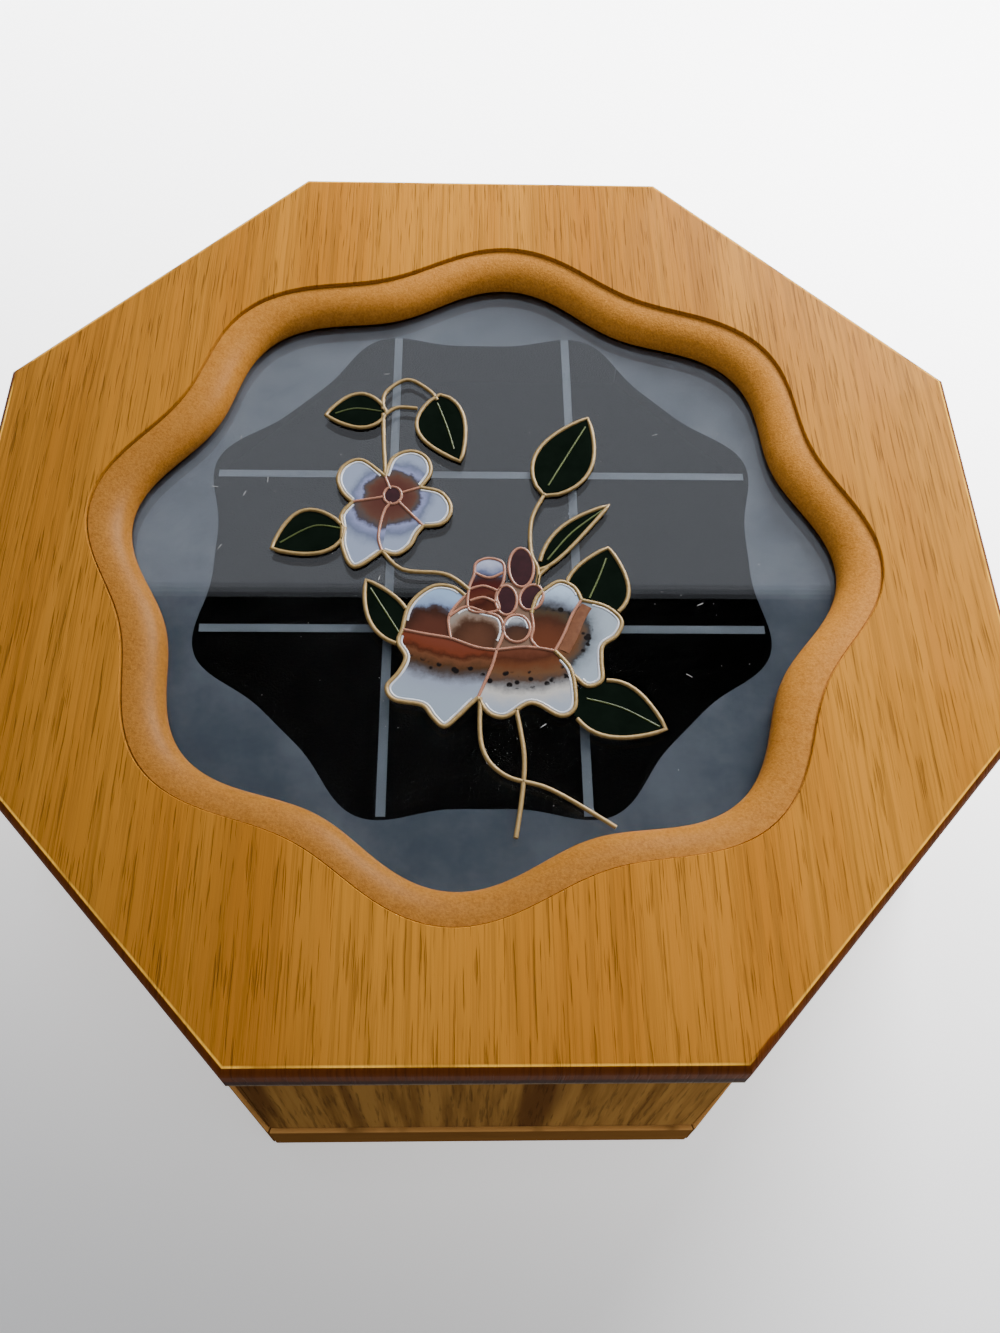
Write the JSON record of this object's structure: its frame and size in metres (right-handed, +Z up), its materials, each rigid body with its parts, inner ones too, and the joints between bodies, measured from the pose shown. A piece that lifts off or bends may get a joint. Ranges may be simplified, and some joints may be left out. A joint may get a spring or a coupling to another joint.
{
  "type": "jewelry box",
  "caption": "Octagonal wooden jewelry box with a lift-off lid and a raised enamel flower spray on glass in a wavy window.",
  "frame": {"origin": "under the middle of the box, on the surface that it stands on", "axes": "+Z up, -Y towards the front side nearest the viewer, +X to the right"},
  "size_m": [0.25, 0.26, 0.082],
  "materials": {
    "veneer": "satin lacquered oak veneer",
    "glass": "clear polished, frosted border on the underside",
    "frame_wood": "plain",
    "enamel": "gold outlines with glossy enamel fills",
    "bottom_wood": "plain",
    "velvet": "black pile",
    "wall_veneer": "satin lacquered dark oak veneer",
    "plinth_wood": "satin stained"
  },
  "bodies": {
    "root": {"lid_panel": "veneer", "glass_pane": "glass", "lid_frame": "frame_wood", "flower_spray": "enamel", "bottom_board": "bottom_wood", "lining_floor": "velvet", "wall_front": "wall_veneer", "wall_front_right": "wall_veneer", "wall_right": "wall_veneer", "wall_back_right": "wall_veneer", "wall_back": "wall_veneer", "wall_back_left": "wall_veneer", "wall_left": "wall_veneer", "wall_front_left": "wall_veneer", "plinth_front": "plinth_wood", "plinth_front_right": "plinth_wood", "plinth_right": "plinth_wood", "plinth_back_right": "plinth_wood", "plinth_back": "plinth_wood", "plinth_back_left": "plinth_wood", "plinth_left": "plinth_wood", "plinth_front_left": "plinth_wood", "lining_front": "velvet", "lining_front_right": "velvet", "lining_right": "velvet", "lining_back_right": "velvet", "lining_back": "velvet", "lining_back_left": "velvet", "lining_left": "velvet", "lining_front_left": "velvet"}
  },
  "joints": []
}
